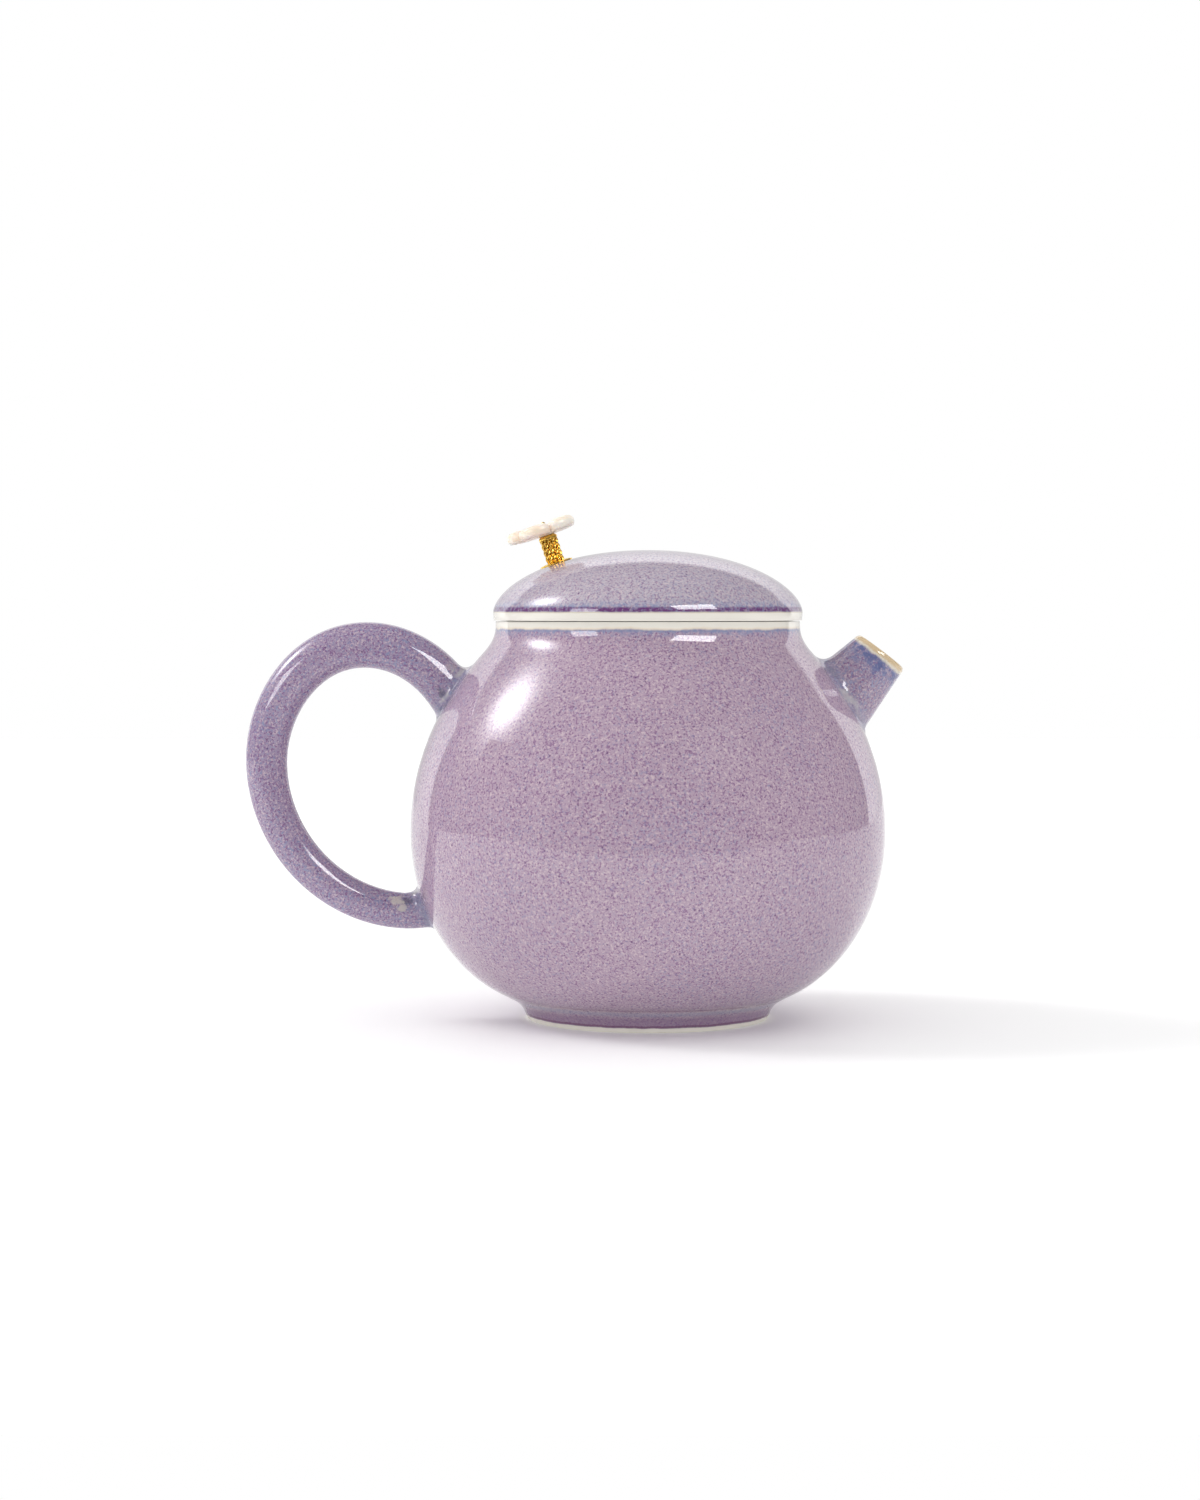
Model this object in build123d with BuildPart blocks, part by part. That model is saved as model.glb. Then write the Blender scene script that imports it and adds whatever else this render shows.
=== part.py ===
from build123d import *
import math
import os

# A small glazed porcelain teapot: a round belly on a foot ring, an ear-shaped handle,
# a short straight spout with a ball strainer behind it, and a domed lid.
# The lid's knob is jewellery work: a brass post of rope wires that carries a shell flower
# and is bolted through the lid.
# Millimetres. The origin is the middle of the foot on the table, +Z is up and the spout
# points towards +X.

# ---------------------------------------------------------------- driving dimensions

wall = 3.0                      # clay wall of the belly
seat_z = 76.8                   # the rim's flat top, where the lid rests
edge = 0.4                      # rounding of the glazed edges

# Belly, foot
rim_r = 29.3
belly_poles = [(rim_r, 75.8), (rim_r, 73.1), (34.2, 68.1), (44.1, 54.1), (49.1, 27.0), (36.5, 7.5), (25.0, 3.6)]
belly_knots = [0, 0, 0, 0, 0.08, 0.25, 0.6, 1, 1, 1, 1]
foot_height = 3.2
foot_top_r = 24.7
foot_waist_r = 23.8
foot_waist_z = 2.0
foot_bottom_r = 23.2
foot_inner_r = 20.2
floor_z = foot_height + wall

# Handle: a round section that tapers from its top joint to its bottom one
handle_poles = [(-37.1, 61.4), (-43.0, 71.1), (-62.3, 76.3), (-77.7, 52.6), (-67.6, 25.9), (-49.7, 19.3), (-41.0, 21.1)]
handle_knots = [0, 0, 0, 0, 0.25, 0.5, 0.75, 1, 1, 1, 1]
handle_top_r = 4.65
handle_bottom_r = 3.4
handle_root = 3.5               # how far each end is drawn on inside the belly before it is cut
handle_sections = 12
handle_fillet = 2.0

# Spout
spout_foot = (39.3, 64.3)       # a point on the spout's axis, in X and Z
spout_rise = 47.7               # the axis above level, in degrees
spout_lip_tilt = 4.4            # the mouth leans back from square by this much
spout_length = 8.7              # from spout_foot to the middle of the mouth
spout_mouth_r = 5.44
spout_flare = 0.156             # growth of the radius per millimetre towards the belly
spout_fillet = 2.8
lip_rounding = 0.6
bore_r = 3.9
bore_bottom = -1.5              # where the straight bore opens out towards the belly
bore_funnel = 2.6
passage_r = 5.4                 # hole in the belly's wall
passage_depth = 12
core_scale = 0.993              # a slightly smaller belly, so that a joint's fillet meets the real one cleanly

# Ball strainer
strainer_centre = -5.2          # on the spout's axis, at the belly's inner face
strainer_r = 9.0
strainer_wall = 1.5
strainer_hole_r = 0.8
strainer_rings = [(0, 1), (22, 6), (42, 11), (62, 13)]      # degrees off the axis, holes

# Lid
lid_r = 29.8
lid_edge_z = 78.1
crown_z = 90.3
crown_poles = [(lid_r, lid_edge_z), (lid_r, 82.75), (19.4, crown_z), (0, crown_z)]
vault_poles = [(26.9, lid_edge_z), (26.9, 81.3), (17.9, 87.6), (0, 87.6)]
flange_outer_r = rim_r - wall - 0.4
flange_inner_r = 23.6
flange_depth = 6.0
vent_r = 0.9
vent_y = 5.0

# Knob, along its own axis, which starts where it meets the dome
knob_x = -17.6
knob_z = 87.75
knob_tilt = 18.5
plate_r = 3.2
plate_height = 0.35
tube_r = 1.04
tube_bore_r = 0.85
post_height = 5.3
rope_count = 12
rope_r = 0.36
cup_height = 0.85
cup_r = 1.82
stud_r = 0.8
stud_hole_r = 1.1
vault_depth = 2.5               # from the dome's outside to the gasket's top, along the axis
gasket_r = 3.0
gasket_height = 1.2
washer_r = 2.0
washer_height = 0.3
nut_across = 3.2
nut_height = 1.3
stud_end = 0.8                  # thread left showing below the nut

# Shell flower and its pin
petal_count = 5
flower_r = 6.6
petal_r = 2.75
flower_shift = 0.6              # the pin's hole is this far off the flower's middle
flower_lift = 0.5               # how far the petals' tips rise
flower_thickness = 1.9
pin_r = 0.4
pin_hole_r = 0.45
pin_head_r = 0.55

# ---------------------------------------------------------------- frames

spout_angle = math.radians(spout_rise)
spout_axis = Vector(math.cos(spout_angle), 0, math.sin(spout_angle))
spout_across = Vector(math.sin(spout_angle), 0, -math.cos(spout_angle))
spout_origin = Vector(spout_foot[0], 0, spout_foot[1])
spout_section = Plane(origin=spout_origin, x_dir=spout_across, z_dir=(0, -1, 0))
spout_up = Plane(origin=spout_origin, x_dir=spout_across, z_dir=spout_axis)
spout_line = Axis(spout_origin, spout_axis)

tilt = math.radians(knob_tilt)
knob_axis = Vector(-math.sin(tilt), 0, math.cos(tilt))
knob_across = Vector(math.cos(tilt), 0, math.sin(tilt))
knob_origin = Vector(knob_x, 0, knob_z)
knob_up = Plane(origin=knob_origin, x_dir=knob_across, z_dir=knob_axis)
knob_line = Axis(knob_origin, knob_axis)
flower_base = plate_height + post_height
stud_length = flower_base - cup_height + vault_depth + gasket_height + washer_height + nut_height + stud_end


def knob_level(height):
    """The plane square to the knob's axis at this height above the dome."""
    return knob_up.offset(height)


def knob_section(height):
    """The upright plane through the knob's axis, with its origin at this height."""
    return Plane(origin=knob_origin + knob_axis * height, x_dir=knob_across, z_dir=(0, -1, 0))


# ---------------------------------------------------------------- forms that trim other pieces

with BuildPart() as belly_form:
    with BuildSketch(Plane.XZ):
        with BuildLine():
            outline = BSpline(belly_poles, belly_knots, degree=3)
            Polyline(outline @ 0, (rim_r, seat_z), (0, seat_z), (0, foot_height), (24.3, foot_height), outline @ 1)
        make_face()
    revolve(axis=Axis.Z)

# The inside follows the belly's outside at the wall's thickness.
with BuildLine() as skin_line:
    skin = BSpline(belly_poles, belly_knots, degree=3)
inside_points = [
    skin @ t + (skin % t).rotate(Axis.Z, -90) * wall for t in (0, 0.1, 0.22, 0.36, 0.5, 0.64, 0.78, 0.9, 1)
]

with BuildPart() as cavity_form:
    with BuildSketch(Plane.XZ):
        with BuildLine():
            inside = Spline(inside_points, tangents=[(0, -1), skin % 1])
            Polyline(inside @ 0, (rim_r - wall, seat_z), (0, seat_z), (0, floor_z), (20, floor_z), inside @ 1)
        make_face()
    revolve(axis=Axis.Z)

with BuildPart() as belly_core:
    scale(belly_form.part, by=core_scale)
    split(bisect_by=Plane.XY.offset(floor_z), keep=Keep.TOP)

with BuildPart() as passage:
    with BuildSketch(spout_up.offset(-passage_depth)):
        Circle(passage_r)
    extrude(amount=passage_depth)

# ---------------------------------------------------------------- pot

with BuildPart() as pot_shell:
    add(belly_form.part)
    add(cavity_form.part, mode=Mode.SUBTRACT)
    rim_edges = pot_shell.edges().filter_by(GeomType.CIRCLE).group_by(Axis.Z)[-1]
    fillet(rim_edges, edge)
    add(passage.part, mode=Mode.SUBTRACT)
pot_shell.part.label = "pot_shell"

with BuildPart() as foot_ring:
    with BuildSketch(Plane.XZ):
        with BuildLine():
            flare = ThreePointArc(
                (foot_top_r, foot_height),
                (foot_waist_r + 0.25, (foot_height + foot_waist_z) / 2),
                (foot_waist_r, foot_waist_z),
            )
            Polyline(
                flare @ 1,
                (foot_bottom_r, 0),
                (foot_inner_r + 0.5, 0),
                (foot_inner_r, foot_height),
                flare @ 0,
            )
        make_face()
    revolve(axis=Axis.Z)
    fillet(foot_ring.edges().filter_by(GeomType.CIRCLE).group_by(Axis.Z)[0], edge)
foot_ring.part.label = "foot_ring"

with BuildLine(Plane.XZ) as handle_line:
    handle_curve = BSpline(handle_poles, handle_knots, degree=3)

with BuildPart() as grip:
    for section in range(-1, handle_sections + 2):
        part_way = min(max(section / handle_sections, 0), 1)
        beyond = handle_root * (section / handle_sections - part_way) * handle_sections
        along = handle_curve % part_way
        centre = handle_curve @ part_way + along * beyond
        with BuildSketch(Plane(origin=centre, x_dir=(0, 1, 0), z_dir=along)):
            Circle(handle_top_r + (handle_bottom_r - handle_top_r) * part_way)
    loft()

with BuildPart() as handle:
    add(belly_core.part)
    add(grip.part)
    fillet(handle.edges(Select.NEW).filter_by(GeomType.BSPLINE), handle_fillet)
    add(belly_form.part, mode=Mode.SUBTRACT)
handle.part.label = "handle"

with BuildPart() as spout_cone:
    with BuildSketch(spout_section):
        with BuildLine():
            root_a = bore_bottom - 6
            tip_a = spout_length + 2
            Polyline(
                (0, root_a),
                (spout_mouth_r + spout_flare * (spout_length - root_a), root_a),
                (spout_mouth_r + spout_flare * (spout_length - tip_a), tip_a),
                (0, tip_a),
                close=True,
            )
        make_face()
    revolve(axis=spout_line)
    split(bisect_by=spout_up.offset(spout_length).rotated((0, -spout_lip_tilt, 0)), keep=Keep.BOTTOM)

with BuildPart() as spout:
    add(belly_core.part)
    add(spout_cone.part)
    fillet(spout.edges(Select.NEW).filter_by(GeomType.BSPLINE), spout_fillet)
    add(belly_form.part, mode=Mode.SUBTRACT)
    with BuildSketch(spout_section):
        with BuildLine():
            Polyline(
                (0, tip_a),
                (bore_r, tip_a),
                (bore_r, bore_bottom),
                (passage_r, bore_bottom - bore_funnel),
                (passage_r, -passage_depth),
                (0, -passage_depth),
                close=True,
            )
        make_face()
    revolve(axis=spout_line, mode=Mode.SUBTRACT)
    lip = spout.faces().filter_by(GeomType.PLANE).sort_by(spout_line)[-1]
    fillet(lip.edges(), lip_rounding)
spout.part.label = "spout"

with BuildPart() as ball_strainer:
    with BuildSketch(spout_section):
        with Locations((0, strainer_centre)):
            Circle(strainer_r)
            Circle(strainer_r - strainer_wall, mode=Mode.SUBTRACT)
            Rectangle(strainer_r, 2 * strainer_r, align=(Align.MAX, Align.CENTER), mode=Mode.SUBTRACT)
    revolve(axis=spout_line)
    add(cavity_form.part, mode=Mode.INTERSECT)
    for angle, holes in strainer_rings:
        for hole in range(holes):
            inward = (spout_axis * -1).rotate(Axis((0, 0, 0), spout_across), angle)
            inward = inward.rotate(Axis((0, 0, 0), spout_axis), 360 * hole / holes)
            with BuildSketch(Plane(origin=spout_origin + spout_axis * strainer_centre, z_dir=inward)):
                Circle(strainer_hole_r)
            extrude(amount=strainer_r + 1, mode=Mode.SUBTRACT)
ball_strainer.part.label = "ball_strainer"

# ---------------------------------------------------------------- lid

with BuildPart() as lid_dome:
    with BuildSketch(Plane.XZ):
        with BuildLine():
            crown = Bezier(*crown_poles)
            Polyline(crown @ 0, (lid_r, seat_z), (0, seat_z), crown @ 1)
        make_face()
    revolve(axis=Axis.Z)
    fillet(lid_dome.edges().filter_by(GeomType.CIRCLE).group_by(Axis.Z)[0], lid_r - rim_r)
    with BuildSketch(Plane.XZ) as vault_section:
        with BuildLine():
            vault = Bezier(*vault_poles)
            Polyline(vault @ 0, (vault_poles[0][0], seat_z), (0, seat_z), vault @ 1)
        make_face()
        with Locations((0, seat_z)):
            Rectangle(flange_inner_r, crown_z, align=(Align.MIN, Align.CENTER), mode=Mode.INTERSECT)
        fillet(vault_section.vertices().sort_by(Axis.X).group_by(Axis.X)[-1].sort_by(Axis.Y)[-1], wall)
    revolve(axis=Axis.Z, mode=Mode.SUBTRACT)
    with Locations((0, vent_y, crown_z)):
        Hole(vent_r)
    with BuildSketch(knob_level(wall)):
        Circle(stud_hole_r)
    extrude(amount=-3 * wall, mode=Mode.SUBTRACT)
lid_dome.part.label = "lid_dome"

with BuildPart() as lid_flange:
    with BuildSketch(Plane.XY.offset(seat_z)):
        Circle(flange_outer_r)
        Circle(flange_inner_r, mode=Mode.SUBTRACT)
    extrude(amount=-flange_depth)
    fillet(lid_flange.edges().group_by(Axis.Z)[0], edge)
lid_flange.part.label = "lid_flange"

# ---------------------------------------------------------------- knob

with BuildPart() as knob_base_plate:
    with BuildSketch(knob_level(-edge)):
        Circle(plate_r)
        Circle(stud_r + 0.05, mode=Mode.SUBTRACT)
    extrude(amount=edge + plate_height)
    add(lid_dome.part, mode=Mode.SUBTRACT)
knob_base_plate.part.label = "knob_base_plate"

with BuildPart() as knob_tube:
    with BuildSketch(knob_level(plate_height)):
        Circle(tube_r)
        Circle(tube_bore_r, mode=Mode.SUBTRACT)
    extrude(amount=post_height - cup_height)
knob_tube.part.label = "knob_tube"

with BuildPart() as knob_rope_wires:
    with BuildSketch(knob_level(plate_height)):
        with PolarLocations(tube_r + rope_r + 0.01, rope_count):
            Circle(rope_r)
    extrude(amount=post_height - cup_height)
knob_rope_wires.part.label = "knob_rope_wires"

with BuildPart() as knob_top_cup:
    with BuildSketch(knob_level(flower_base - cup_height)):
        Circle(cup_r)
    extrude(amount=cup_height)
    fillet(knob_top_cup.edges().sort_by(knob_line)[-1], cup_height - 0.2)
    with BuildSketch(knob_level(flower_base - cup_height)):
        Circle(pin_hole_r)
    extrude(amount=cup_height, mode=Mode.SUBTRACT)
knob_top_cup.part.label = "knob_top_cup"

with BuildPart() as shell_flower:
    with BuildSketch(knob_level(flower_base)) as petals:
        with Locations((-flower_shift, 0)):
            Circle(flower_r - petal_r)
            with PolarLocations(flower_r - petal_r, petal_count, start_angle=180):
                Circle(petal_r)
        Circle(pin_hole_r, mode=Mode.SUBTRACT)
    extrude(amount=flower_lift + 2 * flower_thickness)
    with BuildSketch(knob_section(flower_base)):
        with BuildLine():
            reach = flower_r + flower_shift + 0.1
            under = ThreePointArc((0, 0), (reach / 2, flower_lift / 4), (reach, flower_lift))
            top = ThreePointArc(
                (reach, flower_lift + flower_thickness),
                (reach / 2, flower_lift / 4 + flower_thickness),
                (0, flower_thickness),
            )
            Line(under @ 1, top @ 0)
            Line(top @ 1, under @ 0)
        make_face()
    revolve(axis=knob_line, mode=Mode.INTERSECT)
shell_flower.part.label = "shell_flower"

with BuildPart() as flower_pin:
    with BuildSketch(knob_level(flower_base - cup_height)):
        Circle(pin_r)
    extrude(amount=cup_height + flower_thickness + pin_head_r)
    with Locations(knob_level(flower_base + flower_thickness + pin_head_r).location):
        Sphere(pin_head_r)
flower_pin.part.label = "flower_pin"

with BuildPart() as knob_stud:
    with BuildSketch(knob_level(flower_base - cup_height)):
        Circle(stud_r)
    extrude(amount=-stud_length)
knob_stud.part.label = "knob_stud"

with BuildPart() as lid_gasket:
    with BuildSketch(knob_level(-vault_depth - gasket_height)):
        Circle(gasket_r)
        Circle(stud_r + 0.05, mode=Mode.SUBTRACT)
    extrude(amount=2 * gasket_height)
    add(lid_dome.part, mode=Mode.SUBTRACT)
lid_gasket.part.label = "lid_gasket"

with BuildPart() as lid_washer:
    with BuildSketch(knob_level(-vault_depth - gasket_height)):
        Circle(washer_r)
        Circle(stud_r + 0.1, mode=Mode.SUBTRACT)
    extrude(amount=-washer_height)
lid_washer.part.label = "lid_washer"

with BuildPart() as lid_nut:
    with BuildSketch(knob_level(-vault_depth - gasket_height - washer_height)):
        RegularPolygon(nut_across / 2, 6, major_radius=False)
        Circle(stud_r, mode=Mode.SUBTRACT)
    extrude(amount=-nut_height)
lid_nut.part.label = "lid_nut"

# ---------------------------------------------------------------- write the pieces

pot_pieces = [pot_shell, foot_ring, handle, spout, ball_strainer]
lid_pieces = [lid_dome, lid_flange]
knob_pieces = [knob_base_plate, knob_tube, knob_rope_wires, knob_top_cup]
knob_pieces += [shell_flower, flower_pin, knob_stud, lid_gasket, lid_washer, lid_nut]

os.makedirs("parts", exist_ok=True)
for piece in pot_pieces + lid_pieces + knob_pieces:
    export_step(piece.part, f"parts/{piece.part.label}.step")
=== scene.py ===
import math

import bpy
import numpy as np
from mathutils import Matrix, Vector


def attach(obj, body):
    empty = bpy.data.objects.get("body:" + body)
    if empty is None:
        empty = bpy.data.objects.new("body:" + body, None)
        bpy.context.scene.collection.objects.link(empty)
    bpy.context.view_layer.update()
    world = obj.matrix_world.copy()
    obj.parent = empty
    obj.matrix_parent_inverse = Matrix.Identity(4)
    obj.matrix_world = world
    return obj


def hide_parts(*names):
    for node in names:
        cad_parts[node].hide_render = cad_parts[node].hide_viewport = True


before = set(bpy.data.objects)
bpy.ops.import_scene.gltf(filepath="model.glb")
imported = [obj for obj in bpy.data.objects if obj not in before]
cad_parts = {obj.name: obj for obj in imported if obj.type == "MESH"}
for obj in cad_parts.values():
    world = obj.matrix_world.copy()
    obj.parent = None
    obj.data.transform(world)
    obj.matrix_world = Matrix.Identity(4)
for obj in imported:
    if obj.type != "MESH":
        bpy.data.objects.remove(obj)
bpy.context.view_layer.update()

# A small glazed porcelain teapot with a jewelled knob. Sizes in this script are in millimetres
# and are turned into metres when a mesh is made. +X points along the spout, +Z is up.

MM = 0.001

# ---- the potter's drawing

SEAT = 76.8
RIM_R = 29.3
WALL = 3.0
GLAZED_EDGE = 0.15
BELLY_POLES = [
    (RIM_R, 75.8), (RIM_R, 73.1), (34.2, 68.1), (44.1, 54.1), (49.1, 27.0), (36.5, 7.5), (25.0, 3.6)
]
BELLY_KNOTS = [0, 0, 0, 0, 0.08, 0.25, 0.6, 1, 1, 1, 1]
FOOT_HEIGHT = 3.2
FOOT_BOTTOM_R = 23.2
FOOT_INNER_R = 20.2
FLOOR = FOOT_HEIGHT + WALL

HANDLE_POLES = [
    (-37.1, 61.4), (-43.0, 71.1), (-62.3, 76.3), (-77.7, 52.6), (-67.6, 25.9), (-49.7, 19.3), (-41.0, 21.1)
]
HANDLE_KNOTS = [0, 0, 0, 0, 0.25, 0.5, 0.75, 1, 1, 1, 1]
HANDLE_TOP_R = 4.65
HANDLE_BOTTOM_R = 3.4
HANDLE_FILLET = 2.4

SPOUT_FOOT = (39.3, 0.0, 64.3)
SPOUT_RISE = math.radians(47.7)
SPOUT_LIP_TILT = math.radians(4.4)
SPOUT_LENGTH = 8.7
SPOUT_MOUTH_R = 5.44
SPOUT_FLARE = 0.156
SPOUT_FILLET = 3.0
SPOUT_LIP = 0.6
BORE_R = 3.9
BORE_BOTTOM = -1.5
PASSAGE_R = 5.4
STRAINER_CENTRE = -5.2
STRAINER_R = 9.0
STRAINER_WALL = 1.5
STRAINER_HOLE_R = 0.8

LID_R = 29.8
LID_EDGE = 78.1
CROWN_POLES = [(LID_R, LID_EDGE), (LID_R, 82.75), (19.4, 90.3), (0, 90.3)]
VAULT_POLES = [(26.9, LID_EDGE), (26.9, 81.3), (17.9, 87.6), (0, 87.6)]
FLANGE_OUTER_R = 25.9
FLANGE_INNER_R = 23.6
FLANGE_DEPTH = 6.0
VENT_R = 0.9
VENT_Y = 5.0

KNOB_FOOT = (-17.6, 0.0, 87.75)
KNOB_TILT = math.radians(18.5)
PLATE_R = 3.2
PLATE_HEIGHT = 0.35
TUBE_R = 1.04
POST_HEIGHT = 5.3
ROPE_COUNT = 12
ROPE_R = 0.36
ROPE_PITCH = 2.46
CUP_HEIGHT = 0.85
CUP_R = 1.82
STUD_R = 0.8
VAULT_DEPTH = 2.5
GASKET_R = 3.0
GASKET_HEIGHT = 1.2
WASHER_R = 2.0
WASHER_HEIGHT = 0.3
NUT_ACROSS = 3.2
NUT_HEIGHT = 1.3
STUD_END = 0.8
FLOWER_BASE = PLATE_HEIGHT + POST_HEIGHT
FLOWER_R = 6.6
FLOWER_VALLEY_R = 5.1
FLOWER_SHIFT = 0.6
FLOWER_THICKNESS = 1.9
PIN_R = 0.4
PIN_HEAD_R = 0.42


# ---- curves

def b_spline(poles, knots, places):
    """Points of a cubic B-spline at each place from 0 to 1."""
    poles = np.asarray(poles, float)
    knots = np.asarray(knots, float)
    points = []
    for place in places:
        span = min(int(np.searchsorted(knots, place, side="right")) - 1, len(poles) - 1)
        ladder = [poles[span - 3 + step].copy() for step in range(4)]
        for level in range(1, 4):
            for step in range(3, level - 1, -1):
                low = knots[span - 3 + step]
                high = knots[span + 1 + step - level]
                share = (place - low) / (high - low)
                ladder[step] = (1 - share) * ladder[step - 1] + share * ladder[step]
        points.append(ladder[3])
    return np.array(points)


def bezier(poles, places):
    """Points of a cubic or quadratic Bezier curve at each place from 0 to 1."""
    poles = np.asarray(poles, float)
    degree = len(poles) - 1
    t = np.asarray(places, float)[:, None]
    return sum(math.comb(degree, i) * (1 - t) ** (degree - i) * t**i * poles[i] for i in range(degree + 1))


def rounded(corners, steps=6):
    """A path through (a, b, radius) corners, each one rounded by its radius."""
    path = []
    count = len(corners)
    for i, (a, b, radius) in enumerate(corners):
        here = np.array((a, b), float)
        if not radius:
            path.append(here)
            continue
        back = np.array(corners[i - 1][:2], float) - here
        ahead = np.array(corners[(i + 1) % count][:2], float) - here
        back /= np.linalg.norm(back)
        ahead /= np.linalg.norm(ahead)
        half = math.acos(np.clip(back @ ahead, -1, 1)) / 2
        reach = radius / math.tan(half)
        middle = here + (back + ahead) / np.linalg.norm(back + ahead) * radius / math.sin(half)
        start = here + back * reach - middle
        turn = math.pi - 2 * half
        side = np.sign(start[0] * ahead[1] - start[1] * ahead[0])
        for step in range(steps + 1):
            angle = side * turn * step / steps
            spin = np.array([[math.cos(angle), -math.sin(angle)], [math.sin(angle), math.cos(angle)]])
            path.append(middle + spin @ start)
    return path


def unit(vectors):
    return vectors / np.linalg.norm(vectors, axis=-1, keepdims=True)


SKIN = b_spline(BELLY_POLES, BELLY_KNOTS, np.linspace(0, 1, 401))
SKIN_ALONG = unit(np.gradient(SKIN, axis=0))
INSIDE = SKIN + np.stack([SKIN_ALONG[:, 1], -SKIN_ALONG[:, 0]], -1) * WALL


def belly_radius(height):
    return np.interp(height, SKIN[::-1, 1], SKIN[::-1, 0])


def cavity_radius(height):
    return np.interp(height, INSIDE[::-1, 1], INSIDE[::-1, 0])


def belly_normal(point):
    """The belly's outward direction at a point on it."""
    slope = (belly_radius(point[2] + 0.1) - belly_radius(point[2] - 0.1)) / 0.2
    level = np.array((point[0], point[1])) / math.hypot(point[0], point[1])
    return unit(np.array((level[0], level[1], -slope)))


# ---- meshes

def grid_faces(rows, columns, closed=False):
    """Quads over rows of points that each close on themselves. closed joins the last row to the first."""
    faces = []
    for row in range(rows if closed else rows - 1):
        above = (row + 1) % rows
        low, high = row * columns, above * columns
        for column in range(columns):
            beside = (column + 1) % columns
            faces.append((low + column, low + beside, high + beside, high + column))
    return faces


def piece(name, points, faces, sharp=None, **marks):
    """A smooth mesh object from points in millimetres, with a named number for each point in marks."""
    mesh = bpy.data.meshes.new(name)
    mesh.from_pydata((np.asarray(points, float) * MM).tolist(), [], faces)
    for mark, values in marks.items():
        layer = mesh.attributes.new(mark, "FLOAT", "POINT")
        layer.data.foreach_set("value", np.asarray(values, np.float32))
    mesh.shade_smooth()
    if sharp is not None:
        mesh.set_sharp_from_angle(angle=sharp)
    made = bpy.data.objects.new(name, mesh)
    bpy.context.scene.collection.objects.link(made)
    return made


def tube(name, rows, closed=False, sharp=None, **marks):
    """A skin over rows of points. Its ends are closed to a middle point, unless closed joins them."""
    rows = np.asarray(rows, float)
    count, columns = rows.shape[:2]
    points = rows.reshape(-1, 3)
    faces = grid_faces(count, columns, closed)
    if not closed:
        points = np.vstack([points, rows[0].mean(0), rows[-1].mean(0)])
        low, high = len(points) - 2, len(points) - 1
        last = (count - 1) * columns
        for column in range(columns):
            beside = (column + 1) % columns
            faces.append((beside, column, low))
            faces.append((last + column, last + beside, high))
        marks = {mark: np.append(values, (values[0], values[-1])) for mark, values in marks.items()}
    return piece(name, points, faces, sharp, **marks)


def turned(name, profile, segments=256, closed=False, sharp=None):
    """A (radius, height) profile turned round +Z. One that isn't closed starts and ends on the axis."""
    profile = np.asarray(profile, float)
    if not closed:
        profile = profile[1:-1]
    angles = np.arange(segments) * math.tau / segments
    ring = np.stack([np.cos(angles), np.sin(angles)], -1)
    level = profile[:, None, :1] * ring[None]
    height = np.repeat(profile[:, None, 1:], segments, 1)
    return tube(name, np.concatenate([level, height], -1), closed, sharp)


def placed(thing, matrix):
    """Moves the mesh itself, so that its object stays at the origin."""
    thing.data.transform(matrix)
    return thing


def leaning(across, up, point):
    """A frame with X along across and Z along up, at a point in millimetres in the pot's middle plane."""
    x, z = point[0] * MM, point[2] * MM
    return Matrix(((across[0], 0, up[0], x), (0, 1, 0, 0), (across[2], 0, up[2], z), (0, 0, 0, 1)))


def cut(thing, cutter, sharp):
    """Takes the cutter out of the piece."""
    modifier = thing.modifiers.new("cut", "BOOLEAN")
    modifier.operation = "DIFFERENCE"
    modifier.solver = "EXACT"
    modifier.object = cutter
    view = bpy.context.evaluated_depsgraph_get()
    made = bpy.data.meshes.new_from_object(thing.evaluated_get(view))
    thing.modifiers.remove(modifier)
    thing.data = made
    made.shade_smooth()
    made.set_sharp_from_angle(angle=sharp)
    bpy.data.objects.remove(cutter)
    return thing


def finished(thing, material, body, slot, *nodes):
    """Gives a piece its finish and its body, and hides the CAD nodes that it stands for. slot is not used.
    """
    thing.data.materials.clear()
    thing.data.materials.append(material)
    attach(thing, body)
    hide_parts(*nodes)
    return thing


# ---- node trees

class Wire:
    """A socket that can be used in a Python sum."""

    def __init__(self, bench, socket):
        self.bench = bench
        self.socket = socket

    def sum(self, operation, first, second):
        return self.bench.add("ShaderNodeMath", {"operation": operation}, {0: first, 1: second})

    def __add__(self, other):
        return self.sum("ADD", self, other)

    def __radd__(self, other):
        return self.sum("ADD", other, self)

    def __sub__(self, other):
        return self.sum("SUBTRACT", self, other)

    def __rsub__(self, other):
        return self.sum("SUBTRACT", other, self)

    def __mul__(self, other):
        return self.sum("MULTIPLY", self, other)

    def __rmul__(self, other):
        return self.sum("MULTIPLY", other, self)

    def __truediv__(self, other):
        return self.sum("DIVIDE", self, other)

    def __abs__(self):
        return self.sum("ABSOLUTE", self, 0.0)

    def most(self, other):
        return self.sum("MAXIMUM", self, other)


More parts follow.
